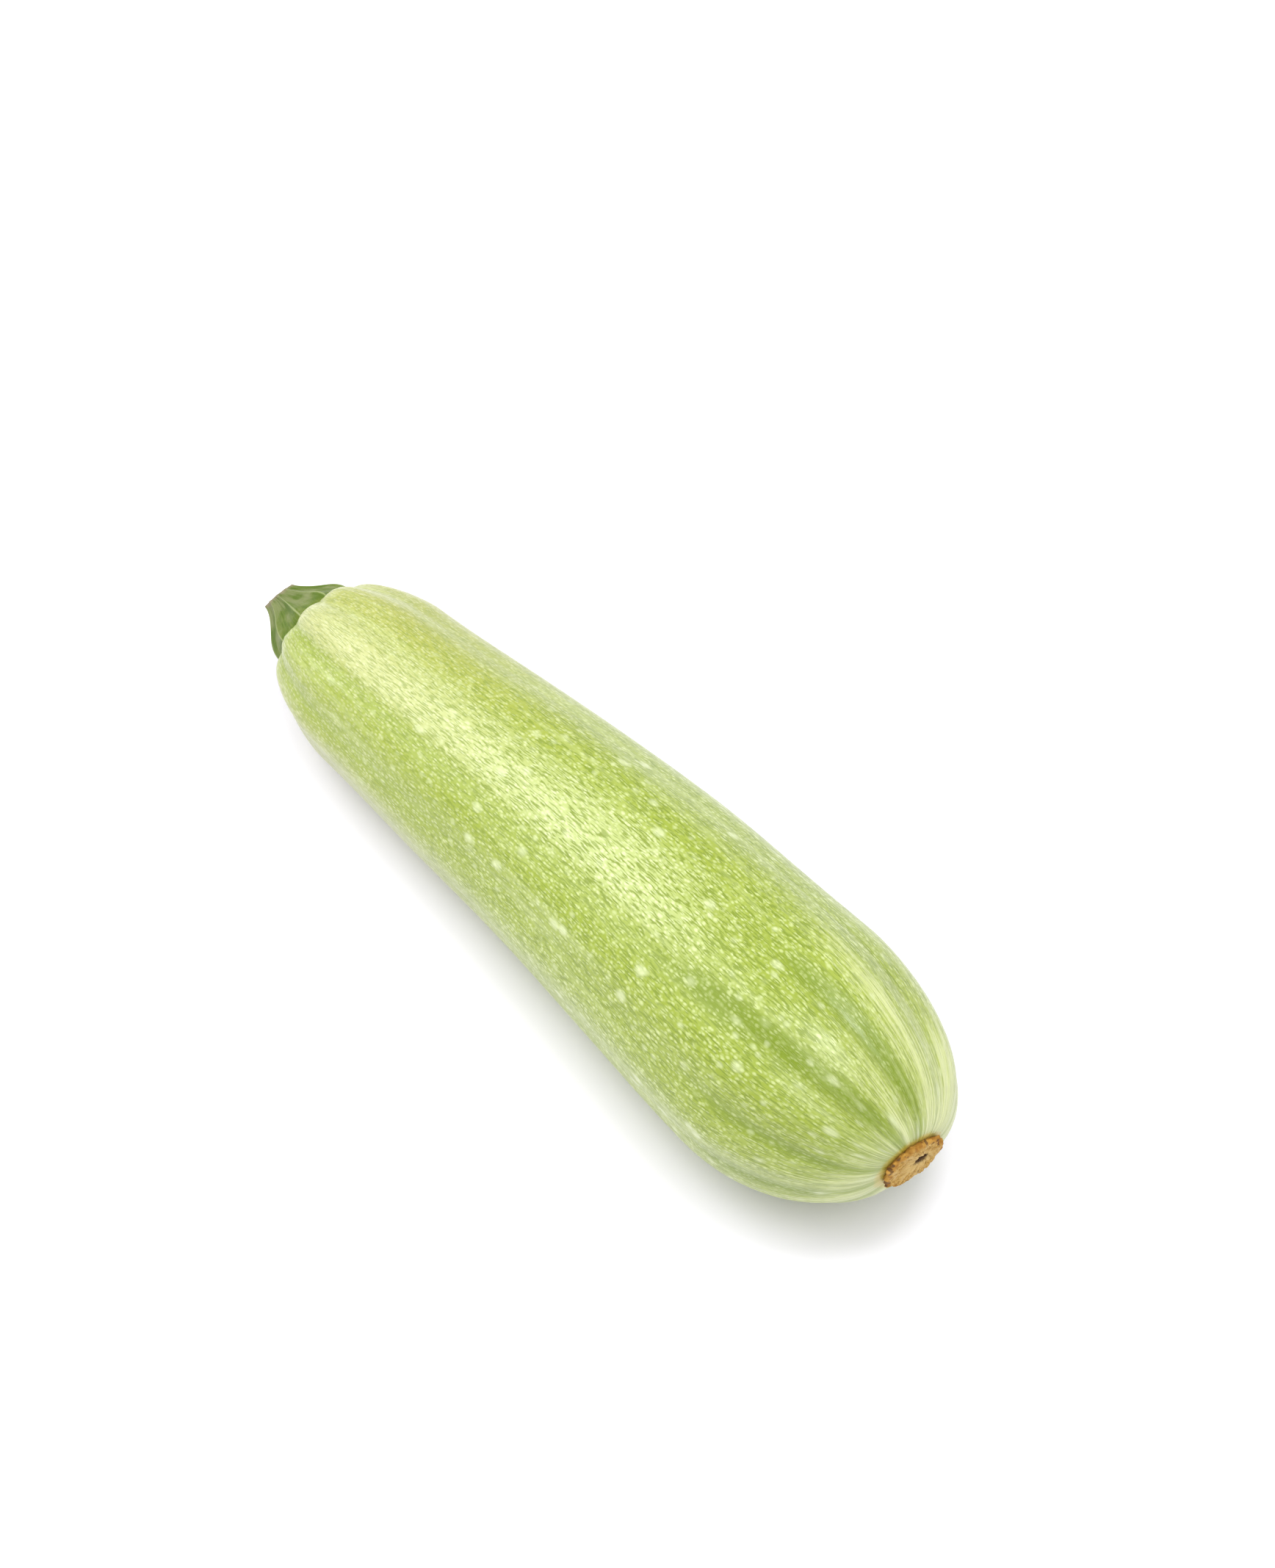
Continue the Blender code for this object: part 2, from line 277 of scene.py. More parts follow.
# degrees about the fruit at the stem and at the scar, width in degrees, the shares of the length where the band
# begins and where it is full, and its strength
GREEN_BANDS = (
    (152, 110, 7.0, 0.60, 0.80, 0.88),
    (106, 82, 6.5, 0.70, 0.88, 0.9),
    (76, 58, 4.0, 0.90, 0.97, 0.40),
    (160, 154, 6.0, 0.70, 0.90, 0.65),
    (140, 137, 5.0, 0.80, 0.95, 0.35),
    (193, 187, 8.0, 0.75, 0.88, 0.7),
    (225, 219, 8.0, 0.70, 0.86, 0.8),
    (257, 251, 8.0, 0.72, 0.88, 0.7),
    (293, 287, 8.0, 0.70, 0.88, 0.8),
    (335, 329, 8.0, 0.74, 0.90, 0.8),
    (18, 12, 6.0, 0.84, 0.95, 0.6),
)
PALE_STRIPS = (
    (60, 39, 7.0, 0.88, 0.96, 1.0),
    (80, 66, 9.0, 0.70, 0.88, 0.65),
    (104, 98, 5.0, 0.88, 0.97, 0.5),
    (176, 170, 5.0, 0.90, 0.97, 0.35),
    (246, 240, 6.0, 0.88, 0.97, 0.7),
    (319, 313, 6.0, 0.88, 0.97, 0.7),
)


def laid_bands(bands):
    """Soft bands along the fruit, the strongest where two meet."""
    total = np.zeros(SHARES.shape)
    for first, last, width, start, full, strength in bands:
        middle = np.radians(first + (last - first) * SHARES)
        away = (ANGLES - middle + math.pi) % TURN - math.pi
        band = strength * np.exp(-(away / math.radians(width)) ** 2) * ease(SHARES, start, full)
        total = np.maximum(total, band)
    return total


green_band, pale_strip = laid_bands(GREEN_BANDS), laid_bands(PALE_STRIPS)
print("skin in a green band: %.0f %%" % (100.0 * (green_band > 0.5).mean()))

# %% [markdown]
# Larger fields lie over the bands. The crest that faces up is pale along neck and middle: painted sheen. The side
# below it is a darker green, painted shade that is strongest at the neck, and the top of the blossom end is a deeper
# green. The underside carries a painted reflection of the white floor, a pale grey that is strongest at the neck.
# Their edges are wide, because a field that ends on a line looks painted on.

# %% Larger fields of colour
GREENEST_TIP, WIDTH_BELOW, WIDTH_ABOVE = math.radians(138), 80.0, 50.0


def between(first, last):
    """Rises from 0 at the first angle about the fruit to 1 at the last, both in degrees."""
    return ease(ANGLES, math.radians(first), math.radians(last))


# The pale crest that faces up is painted sheen: it stands in for the lamps' sheen along neck and middle.
from_crest = np.abs(ANGLES - np.radians(109.5 - 9.0 * SHARES))
painted_sheen_crest = (1.0 - ease(from_crest, math.radians(13), math.radians(21))) * (1.0 - ease(SHARES, 0.58, 0.82))

# The lower side below the crest turns a darker green as painted shade, strongest at the neck. The top of the blossom
# end is a deeper green of its own.
painted_shade_side = between(118, 128) * (1.0 - between(158, 196))
painted_shade_depth = 0.72 - 0.22 * ease(SHARES, 0.30, 0.55) - 0.15 * ease(SHARES, 0.6, 0.9)
blossom_top = between(78, 90) * (1.0 - between(150, 168)) * ease(SHARES, 0.62, 0.85)
deep_green_and_painted_shade = np.maximum(painted_shade_side * painted_shade_depth, 0.70 * blossom_top)

# The pale grey on the underside is a painted reflection of the white floor, strongest at the neck.
painted_floor_reflection = between(152, 205) * (1.0 - between(215, 275)) * (1.0 - 0.75 * ease(SHARES, 0.10, 0.60))

from_green = (ANGLES - GREENEST_TIP) / np.radians(np.where(ANGLES > GREENEST_TIP, WIDTH_BELOW, WIDTH_ABOVE))
tip_pale = 1.0 - 0.85 * np.exp(-from_green ** 2)
# This counts the skin under the painted floor reflection.
print("skin on the bleached underside: %.0f %%" % (100.0 * (painted_floor_reflection > 0.2).mean()))

# %% [markdown]
# All fields are stored on the points as numbers from 0 to 1. The place of each point on a straight rod is stored too,
# so that speckles keep their size and run along the fruit.

# %% The fruit's mesh
REFERENCE_MM = 29.0        # radius of the rod
skin_place = np.stack([
    REFERENCE_MM * np.cos(ANGLES), REFERENCE_MM * np.sin(ANGLES), 1000.0 * FRUIT_LENGTH * SHARES], axis=-1)
fruit = swept_piece("zucchini_fruit", grid, stem_face + TO_MODEL, tip_face + TO_MODEL, {
    "skin_place": skin_place, "share": SHARES, "furrow": np.clip(0.4 - rib_arch(SHARES, ANGLES), 0.0, 1.0),
    "green_band": green_band, "pale_strip": pale_strip, "painted_sheen_crest": painted_sheen_crest, "painted_floor_reflection": painted_floor_reflection,
    "tip_pale": tip_pale, "deep_green_and_painted_shade": deep_green_and_painted_shade,
})

# %% [markdown]
# ## Shape of the stem
#
# The stalk was cut a finger's breadth above the fruit. It is a ten-cornered stub that flares where it joins the
# shoulder, with fibres along it, and its cut leans back at the top. The cut has dried: the rim stands and the pith has
# sunk. The visible stem starts right at the fruit's face, so that no gap shows.

# %% The stem
STEM_LENGTH, STEM_FOOT, STEM_CUT, STEM_FLARE = 0.0141, 0.0116, 0.0039, 1.45
STEM_SIDE, STEM_RISE, SLANT_SIDE, SLANT_UP = -0.0014, 0.0010, -0.05, 0.50
FIRST_CORNER = math.radians(9)
GAP = 0.0003
STEM_RINGS, STEM_COLUMNS, CUT_RINGS = 110, 320, 40
CUT_SUNK, CUT_ROUGH = 0.0008, 0.00008
FIBRE, KNOT, STEM_SPARE = 0.000045, 0.00005, 0.00012

along = np.concatenate([np.linspace(0.0, 1.0, STEM_RINGS), np.ones(CUT_RINGS)])[:, None]
inset = np.concatenate([np.ones(STEM_RINGS), np.linspace(0.97, 0.04, CUT_RINGS)])[:, None]
# run backwards, because the stem grows towards -X
turn = (FIRST_CORNER - np.linspace(0.0, TURN, STEM_COLUMNS, endpoint=False))[None, :]
corner_arch = 1.0 - 2.0 * np.abs(np.sin(5.0 * (turn - FIRST_CORNER))) ** 0.9
corner = (0.03 + 0.06 * ease(along, 0.0, 0.5)) * inset
cut_share = 1.0 - inset
sunk = CUT_SUNK * ease(cut_share, 0.14, 0.70)
fibres = ripples(along, turn, 22, (18, 60), 1.4, seed=3)
knots = ripples(along, turn, 10, (3, 11), 2.4, seed=4)

flare = np.sin(0.5 * math.pi * (1.0 - along)) ** STEM_FLARE
stem_radius = (STEM_CUT + (STEM_FOOT - STEM_CUT) * flare) * inset * (1.0 + corner * corner_arch) - STEM_SPARE
stem_radius = stem_radius + inset * (FIBRE * fibres + KNOT * knots) * ease(along, 0.0, 0.15)
cut_relief = CUT_ROUGH * ripples(cut_share * 3.0, turn, 16, (3, 14), 2.0, seed=6) * ease(cut_share, 0.03, 0.2)
off_y, off_z = stem_radius * np.cos(turn), stem_radius * np.sin(turn)
foot_gap = GAP * ease(along, 0.0, 0.10)
stem_grid = stem_face + np.stack([
    -foot_gap - STEM_LENGTH * along + sunk + cut_relief + (SLANT_SIDE * off_y + SLANT_UP * off_z) * along,
    STEM_SIDE * along * along + off_y,
    STEM_RISE * along * along + off_z], axis=-1)
stem_low, stem_high = (np.array(c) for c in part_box("stem"))
stem_high[0] += GAP
stem_grid = np.clip(stem_grid + TO_MODEL, stem_low, stem_high)
stem_end = stem_grid[-1].mean(axis=0)
stem_place = np.stack([
    10.0 * np.cos(turn) * inset + 0.0 * along, 10.0 * np.sin(turn) * inset + 0.0 * along,
    1000.0 * STEM_LENGTH * along + 6.0 * cut_share + 0.0 * turn], axis=-1)
stem = swept_piece("zucchini_stem", stem_grid, stem_face + TO_MODEL, stem_end, {
    "stem_place": stem_place, "along_stem": along + 0.0 * turn,
    "cut_face": cut_share + 0.0 * turn, "stem_corner": 0.5 + 0.5 * corner_arch + 0.0 * along,
})

# %% [markdown]
# ## Shape of the blossom scar
#
# Where the flower dropped off, a disc of cork is left. Its rim is ragged and stands a little off the skin, its face
# is cracked from the middle outwards, and there is a small pit in it. The profile from underside to pit is a short
# list of points, drawn as a smooth line, and the cracks and lumps are laid over it.

# %% The blossom scar
SCAR_RADIUS, SCAR_HEIGHT = 0.0072, 0.0014
SCAR_RINGS, SCAR_COLUMNS = 110, 320
# from the underside over the rim into the pit: share of the radius, of the height and of the ragged waves
SCAR_PROFILE = np.array((
    (0.90, -0.16, 0.6), (0.93, 0.00, 0.6), (1.00, 0.30, 1.0), (0.97, 0.70, 1.0), (0.88, 0.92, 0.8), (0.76, 1.00, 0.5),
    (0.58, 0.86, 0.3), (0.40, 0.78, 0.2), (0.28, 0.70, 0.2), (0.17, 0.40, 0.1), (0.03, 0.32, 0.0),
))
# how many waves there are round the rim, their depth as a share of the radius, and where they start
SCAR_WAVES = ((3, 0.030, 0.6), (7, 0.028, 2.1), (13, 0.030, 4.0), (19, 0.026, 0.0))
TATTER, CRACK, LUMP = 0.00018, 0.00026, 0.00011
PIT_SHIFT, PIT_FLATTENING = 0.0019, 0.25
SCAR_SPARE, SCAR_SPARE_UP = 0.0001, 0.00006
SMOOTHING = 9              # rings over which the profile is rounded

steps = np.concatenate([[0.0], np.cumsum(np.hypot(*np.diff(SCAR_PROFILE[:, :2] * (1.0, 0.3), axis=0).T))])
fine = np.linspace(0.0, steps[-1], SCAR_RINGS)
profile = [np.interp(fine, steps, column) for column in SCAR_PROFILE.T]
kernel = np.hanning(SMOOTHING) / np.hanning(SMOOTHING).sum()
out, up, ragged = (
    np.convolve(np.pad(p, SMOOTHING // 2, mode="edge"), kernel, mode="valid")[:, None] for p in profile)
round_angle = np.linspace(0.0, TURN, SCAR_COLUMNS, endpoint=False)[None, :]

rim = sum(depth * np.sin(count * round_angle + start) for count, depth, start in SCAR_WAVES)
lobes = 1.0 + 0.10 * out * np.sin(5.0 * round_angle)
face = ease(fine, steps[3], steps[5])[:, None]
cracks = np.minimum(ripples(out, round_angle, 14, (9, 26), 1.6, seed=11), 0.0)
lumps = ripples(out * 2.0, round_angle, 18, (2, 15), 3.0, seed=12)
tatters = ripples(out, round_angle, 16, (16, 48), 2.0, seed=13)
scar_radius = SCAR_RADIUS * out * (1.0 + ragged * rim) + TATTER * tatters * ragged - SCAR_SPARE
face_relief = CRACK * cracks * ease(out, 0.15, 0.5) + LUMP * lumps
scar_up = SCAR_HEIGHT * up * lobes + face * face_relief - SCAR_SPARE_UP
# the pit is drawn out sideways and sits off the middle
off_y = scar_radius * np.cos(round_angle) + PIT_SHIFT * (1.0 - ease(out, 0.15, 0.85))
off_z = scar_radius * np.sin(round_angle) * (1.0 - PIT_FLATTENING + PIT_FLATTENING * ease(out, 0.10, 0.60))
scar_grid = tip_face + np.stack([
    GAP + scar_up + FACE_SIDE * off_y + FACE_DOWN * off_z,
    off_y - FACE_SIDE * scar_up, off_z - FACE_DOWN * scar_up], axis=-1)
scar_low, scar_high = (np.array(c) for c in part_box("blossom_scar"))
scar_low[0] -= GAP
scar_grid = np.clip(scar_grid + TO_MODEL, scar_low, scar_high)
scar_place = np.stack([
    1000.0 * off_y, 1000.0 * off_z, 1000.0 * scar_up + 0.0 * off_y], axis=-1)
scar = swept_piece("zucchini_blossom_scar", scar_grid, scar_grid[0].mean(axis=0), scar_grid[-1].mean(axis=0), {
    "scar_place": scar_place, "scar_out": out + 0.0 * round_angle, "scar_face": face + 0.0 * round_angle,
    "scar_crack": -cracks * face,
})

# %% [markdown]
# ## Tools for finishes
#
# A finish is a graph of nodes, but its maths reads better as plain expressions. `Signal` wraps an output socket, and
# each operator adds a Math node. `Finish` is a material with one method, `node`, for every other kind of node: its
# settings come first, then the values or links of its sockets.

# %% Helpers for finishes
MIX_FACTOR, MIX_FIRST, MIX_SECOND, MIX_RESULT = 0, 6, 7, 2


class Signal:
    """A node's output. Arithmetic on it adds Math nodes to the same finish."""

    def __init__(self, finish, socket):
        self.finish, self.socket = finish, socket

    def maths(self, operation, first, second):
        return self.finish.node("ShaderNodeMath", {"operation": operation}, {0: first, 1: second})

    def __add__(self, other): return self.maths("ADD", self, other)
    def __radd__(self, other): return self.maths("ADD", other, self)
    def __sub__(self, other): return self.maths("SUBTRACT", self, other)
    def __rsub__(self, other): return self.maths("SUBTRACT", other, self)
    def __mul__(self, other): return self.maths("MULTIPLY", self, other)
    def __rmul__(self, other): return self.maths("MULTIPLY", other, self)


class Finish:
    """A Principled material and the nodes that feed it."""

    def __init__(self, name):
        self.material = bpy.data.materials.new(name)
        self.material.use_nodes = True
        self.tree = self.material.node_tree
        self.shader = self.tree.nodes["Principled BSDF"]

    def plug(self, socket, value):
        """Links a signal into a socket, or sets the socket's own value."""
        if isinstance(value, Signal):
            self.tree.links.new(value.socket, socket)
        elif isinstance(value, tuple) and len(value) == 3 and socket.type == "RGBA":
            socket.default_value = (*value, 1.0)
        else:
            socket.default_value = value

    def node(self, kind, settings, inputs, output=0):
        """Adds a node, sets it, fills its sockets, and gives back one of its outputs."""
        node = self.tree.nodes.new(kind)
        for name, value in settings.items():
            setattr(node, name, value)
        for key, value in inputs.items():
            self.plug(node.inputs[key], value)
        return Signal(self, node.outputs[output])

    def stored(self, name, output="Fac"):
        """A named attribute of the mesh, as a number or as a vector."""
        return self.node("ShaderNodeAttribute", {"attribute_name": name}, {}, output)

    def stretched(self, place, across, along):
        """Millimetres on the rod, counted in grains of this size across and along it."""
        grains = (1.0 / across, 1.0 / across, 1.0 / along)
        return self.node("ShaderNodeVectorMath", {"operation": "MULTIPLY"}, {0: place, 1: grains})

    def noise(self, place, across, along, detail=2.0, roughness=0.5):
        """Soft noise around 0.5, with grains of this size in millimetres."""
        grains = self.stretched(place, across, along)
        return self.node("ShaderNodeTexNoise", {}, {
            "Vector": grains, "Scale": 1.0, "Detail": detail, "Roughness": roughness})

    def ramp(self, value, start, end):
        """Goes smoothly from 0 where the value is at start to 1 where it is at end, upwards or downwards."""
        return self.node("ShaderNodeMapRange", {"interpolation_type": "SMOOTHSTEP"}, {
            "Value": value, "From Min": start, "From Max": end})

    def mix(self, factor, first, second):
        """Goes from the first colour to the second."""
        return self.node("ShaderNodeMix", {"data_type": "RGBA"}, {
            MIX_FACTOR: factor, MIX_FIRST: first, MIX_SECOND: second}, MIX_RESULT)

    def bump(self, height, distance, strength):
        """Bends the normal by a height, where 1 is this distance in metres."""
        return self.node("ShaderNodeBump", {}, {
            "Height": height, "Distance": distance, "Strength": strength})

    def set(self, **values):
        """Sets or links the shader's own sockets, named with underscores for spaces."""
        for name, value in values.items():
            self.plug(self.shader.inputs[name.replace("_", " ")], value)


# %% [markdown]
# ## The skin
#
# From a step away the skin is a pale yellowish green. Close up it is a fine net: thousands of pale lens-shaped
# speckles, about a millimetre long, with greener skin between them, and here and there a larger cream spot. A
# Voronoi texture gives one cell to each speckle, and stretching its space along the fruit makes the speckles lenses.
# Its colour output is one random colour for each cell, so it can choose which cells carry a large spot.

# %% Speckles and spots
SWAY_MM = (0.45, 0.45, 0.60)   # noise moves the cells by up to this much, so that no row of them stays straight

skin = Finish("zucchini_skin")
place = skin.stored("skin_place", "Vector")
share_of_length = skin.stored("share")
sway = skin.node("ShaderNodeTexNoise", {}, {
    "Vector": skin.stretched(place, 1.6, 3.2), "Scale": 1.0, "Detail": 1.0}, "Color")
swayed = skin.node("ShaderNodeVectorMath", {"operation": "MULTIPLY_ADD"}, {0: sway, 1: SWAY_MM, 2: place})


def spots(across, along, size, chosen, faintest=0.0, evenness=0.2):
    """Soft round spots, one in a cell of this size in millimetres: how strongly a point lies in one.

    Size is the radius of a spot as a share of its cell, and chosen the share of the cells that carry a spot. The
    other cells carry one of the faintest strength. Evenness keeps neighbours apart.
    """
    cells = {"Vector": skin.stretched(swayed, across, along), "Scale": 1.0, "Randomness": 1.0 - evenness}
    from_middle = skin.node("ShaderNodeTexVoronoi", {}, cells, "Distance")
    lot = skin.node("ShaderNodeTexVoronoi", {}, cells, "Color")
    drawn = skin.node("ShaderNodeSeparateColor", {}, {0: lot}, 0)
    carried = faintest + (1.0 - faintest) * skin.ramp(drawn, 1.0 - chosen, 1.0 - 0.35 * chosen)
    return carried * skin.ramp(from_middle, size, 0.25 * size)


fine_spot = spots(0.72, 1.20, 0.62, 1.0, faintest=0.40, evenness=0.30)
middle_spot = spots(1.40, 2.2, 0.46, 0.45)
small_spot = spots(2.6, 3.3, 0.38, 0.28)
large_spot = spots(4.6, 6.2, 0.36, 0.34)
stitches = skin.noise(swayed, 0.32, 2.6)
streaks = skin.noise(place, 0.55, 16.0)
broad_streaks = skin.noise(place, 2.4, 40.0)
blotches = skin.noise(place, 5.0, 12.0)
print("nodes so far", len(skin.tree.nodes))

# %% [markdown]
# The colour is mixed in the order in which the skin grows. First comes the ground between the speckles: two greens in
# blotches, yellower at the neck, paler on the crest that faces up as painted sheen, greener on the lower side as
# painted shade and in the furrows, partly as painted shade, and deepest in the bands. Noise frays the bands, because
# their edges are never straight.

# %% The ground between the speckles
GREEN, LEAF, DEEP = (0.270, 0.350, 0.022), (0.330, 0.410, 0.050), (0.175, 0.255, 0.000)
NECK = (0.400, 0.405, 0.095)
PALE, PALE_NECK = (0.560, 0.635, 0.265), (0.575, 0.598, 0.300)

near_neck = 1.0 - skin.ramp(share_of_length, 0.02, 0.55)
crest = skin.stored("painted_sheen_crest")
band = skin.ramp(skin.stored("green_band") + 0.45 * (streaks - 0.5) + 0.35 * (blotches - 0.5), 0.12, 0.85)
pale_here = skin.mix(near_neck, PALE, PALE_NECK)

ground = skin.mix(0.5 + 1.2 * (blotches - 0.5), GREEN, LEAF)
ground = skin.mix(0.75 * near_neck, ground, NECK)
# Painted sheen: the crest that faces up turns pale.
ground = skin.mix(0.50 * crest, ground, pale_here)
# Painted shade: the lower side turns a darker green. The furrows turn greener, partly from their own colour and partly
# as painted shade.
ground = skin.mix(skin.stored("deep_green_and_painted_shade") + 0.25 * skin.stored("furrow"), ground, GREEN)
ground = skin.mix(band * (1.0 - 0.7 * skin.ramp(share_of_length, 0.965, 0.99)), ground, DEEP)
print("nodes with the ground", len(skin.tree.nodes))

# %% [markdown]
# The speckles lie on it. They are faintest in the bands, at the neck and towards the blossom end. Between them run
# short dark green stitches, which make the skin look knitted.

# %% The speckles' colours
# The brighter speckle colour is painted sheen, for the crest that faces up.
SHEEN_SPECKLE = (0.685, 0.740, 0.430)
STITCH = (0.195, 0.270, 0.006)

marks = skin.node("ShaderNodeMath", {"operation": "MAXIMUM"}, {0: 0.88 * fine_spot, 1: 0.95 * middle_spot})
# On the crest that faces up the speckles turn brighter, as painted sheen.
mark_colour = skin.mix(0.7 * crest * (1.0 - 0.5 * near_neck), pale_here, SHEEN_SPECKLE)
mark_strength = 0.90 - 0.32 * band - 0.25 * near_neck - 0.20 * skin.ramp(share_of_length, 0.80, 0.95)
speckled = skin.mix(marks * (mark_strength * (0.90 + 0.2 * blotches)), ground, mark_colour)
stitched = skin.mix((0.95 - 0.50 * near_neck) * skin.ramp(stitches, 0.50, 0.59), speckled, STITCH)
streaked = skin.mix(0.25 * skin.ramp(broad_streaks, 0.50, 0.70), stitched, PALE)
print("nodes with the speckles", len(skin.tree.nodes))

# %% [markdown]
# Towards the scar the speckles run together into pale streaks between the bands. The large cream spots, the painted
# reflection of the white floor on the underside and the small cream spots follow in that order, and the skin turns a
# warm yellow where it meets the cork.

# %% Tip, underside and large spots
IVORY, CREAM = (0.620, 0.670, 0.310), (0.640, 0.700, 0.400)
# The first colour on the next line is the pale grey of the painted floor reflection on the underside.
FLOOR_REFLECTION_GREY, GLOW = (0.400, 0.420, 0.270), (0.600, 0.440, 0.040)

to_scar = skin.ramp(share_of_length, 0.84, 0.985)
near_tip = to_scar * skin.stored("tip_pale") + 0.65 * skin.ramp(share_of_length, 0.965, 0.995)
tip_streaks = near_tip * (0.30 + 0.65 * skin.ramp(streaks, 0.46, 0.62))
strip = skin.ramp(skin.stored("pale_strip") + 1.2 * (streaks - 0.5), 0.20, 0.90)
floor_reflection_mask = skin.stored("painted_floor_reflection") + 0.5 * (blotches - 0.5) + 0.5 * (broad_streaks - 0.5)

tipped = skin.mix(tip_streaks * (1.0 - 0.95 * band), streaked, IVORY)
tipped = skin.mix((0.45 + 0.45 * skin.ramp(streaks, 0.42, 0.56)) * strip, tipped, IVORY)
spotted = skin.mix(0.65 * large_spot * (1.0 - 0.6 * near_neck), tipped, CREAM)
# Painted reflection of the white floor: a pale grey over the underside.
spotted = skin.mix(0.50 * skin.ramp(floor_reflection_mask, 0.10, 1.05), spotted, FLOOR_REFLECTION_GREY)
spotted = skin.mix(0.45 * small_spot * (1.0 - 0.5 * near_neck), spotted, CREAM)
skin_colour = skin.mix(0.7 * skin.ramp(share_of_length, 0.9988, 0.9999), spotted, GLOW)
print("nodes of the skin's colour", len(skin.tree.nodes))

# %% [markdown]
# The skin is waxy: a soft gloss under a thin clear coat, and a little light that goes in and comes out again, which
# keeps the dark side from looking painted. The speckles stand up by a hair, so the gloss breaks up over them.

# %% The skin's gloss
SPECKLE_RELIEF = 0.00012   # metres

skin_relief = 0.6 * marks + 0.7 * large_spot - 0.6 * skin.ramp(stitches, 0.50, 0.70) + 0.6 * streaks * near_tip
skin.set(
    Base_Color=skin_colour,
    Roughness=0.40 - 0.06 * marks + 0.12 * (blotches - 0.5),
    Specular_IOR_Level=0.5,
    Subsurface_Weight=0.12,
    Subsurface_Radius=(0.9, 1.0, 0.35),
    Subsurface_Scale=0.0015,
    Coat_Weight=0.34 + 0.2 * (blotches - 0.5),
    Coat_Roughness=0.24,
    Normal=skin.bump(skin_relief, SPECKLE_RELIEF, 0.8),
)
print("nodes of the skin", len(skin.tree.nodes))

# %% [markdown]
# ## The stalk's finish
#
# The stalk is a dull dark green. Pale lines run down its corners, greyish dust lies over it in patches, and it turns
# brown where it was cut. The cut itself has dried to a greyish tan. A pale line marks where the stalk joins the fruit.

# %% What the stem's colours follow
stalk = Finish("zucchini_stalk")
on_stem = stalk.stored("stem_place", "Vector")
stalk_fibres = stalk.noise(on_stem, 0.45, 5.0, detail=4.0, roughness=0.6)
stalk_blotch = stalk.noise(on_stem, 2.6, 5.0)
stalk_grain = stalk.noise(on_stem, 0.5, 0.6, detail=3.0)
up_stem = stalk.stored("along_stem")
on_cut = stalk.ramp(stalk.stored("cut_face"), 0.0, 0.05)
on_corner = stalk.ramp(stalk.stored("stem_corner") + 0.25 * (stalk_fibres - 0.5), 0.80, 0.98)
dusty = stalk.ramp(stalk_blotch + 0.35 * up_stem + 0.25 * (stalk_grain - 0.5), 0.58, 0.86)
browned = stalk.ramp(up_stem + 0.10 * (stalk_blotch - 0.5), 0.92, 1.0)
joint_line = 1.0 - stalk.ramp(up_stem, 0.01, 0.05)
print("nodes of the stalk's masks", len(stalk.tree.nodes))

# %% [markdown]
# The colours lie over each other in this order: two greens in blotches, fibres, corners, dust, the brown towards the
# cut and the pale joint. The cut's own tan replaces them all. The fibres stand up a little, so the stalk looks dry.

# %% The stem's finish
STALK_DARK, STALK_LIGHT, FIBRE_GREEN = (0.070, 0.125, 0.000), (0.125, 0.170, 0.018), (0.160, 0.215, 0.040)
CORNER_PALE, DUST, STALK_BROWN = (0.300, 0.345, 0.140), (0.220, 0.240, 0.115), (0.270, 0.225, 0.150)
JOINT_PALE = (0.330, 0.360, 0.100)
CUT_DARK, CUT_LIGHT = (0.240, 0.205, 0.130), (0.420, 0.380, 0.260)
STALK_RELIEF = 0.00014

stalk_green = stalk.mix(stalk.ramp(stalk_blotch, 0.35, 0.65), STALK_DARK, STALK_LIGHT)
stalk_green = stalk.mix(0.5 * stalk.ramp(stalk_fibres, 0.46, 0.68), stalk_green, FIBRE_GREEN)
stalk_green = stalk.mix(0.80 * on_corner, stalk_green, CORNER_PALE)
stalk_green = stalk.mix(0.50 * dusty, stalk_green, DUST)
stalk_green = stalk.mix(0.80 * browned, stalk_green, STALK_BROWN)
stalk_green = stalk.mix(0.70 * joint_line, stalk_green, JOINT_PALE)
cut_tan = stalk.mix(stalk.ramp(stalk_grain, 0.35, 0.65), CUT_DARK, CUT_LIGHT)
stalk.set(
    Base_Color=stalk.mix(on_cut, stalk_green, cut_tan),
    Roughness=0.55 + 0.30 * on_cut,
    Specular_IOR_Level=0.25,
    Subsurface_Weight=0.08,
    Subsurface_Radius=(0.8, 1.0, 0.4),
    Subsurface_Scale=0.001,
    Normal=stalk.bump(stalk_fibres + 0.5 * stalk_grain, STALK_RELIEF, 0.9),
)
print("nodes of the stalk", len(stalk.tree.nodes))

# %% [markdown]
# ## The scar's finish
#
# Cork is matt and warm. The face is a tan orange with darker cracks, and it is palest where it slopes into the pit,
# which is painted nearly black as shade in the hole. The rim and the underside are a reddish brown, with a few dark
# scabs.

# %% The scar's finish
TAN_DARK, TAN_LIGHT, TAN_PALE = (0.360, 0.190, 0.035), (0.600, 0.395, 0.105), (0.640, 0.480, 0.210)
CRACK_BROWN, PIT_SLOPE, PAINTED_PIT_SHADE = (0.250, 0.140, 0.035), (0.660, 0.475, 0.180), (0.070, 0.032, 0.008)
RIM_DARK, RIM_LIGHT, SCAB = (0.300, 0.130, 0.015), (0.520, 0.285, 0.055), (0.090, 0.045, 0.020)
CORK_RELIEF = 0.00012

cork = Finish("zucchini_cork")
on_scar = cork.stored("scar_place", "Vector")
scar_out = cork.stored("scar_out")
grain = cork.noise(on_scar, 0.35, 0.35, detail=4.0, roughness=0.65)
patches = cork.noise(on_scar, 1.8, 1.8)
scabs = cork.ramp(cork.noise(on_scar, 1.5, 1.5, detail=1.0), 0.57, 0.63)

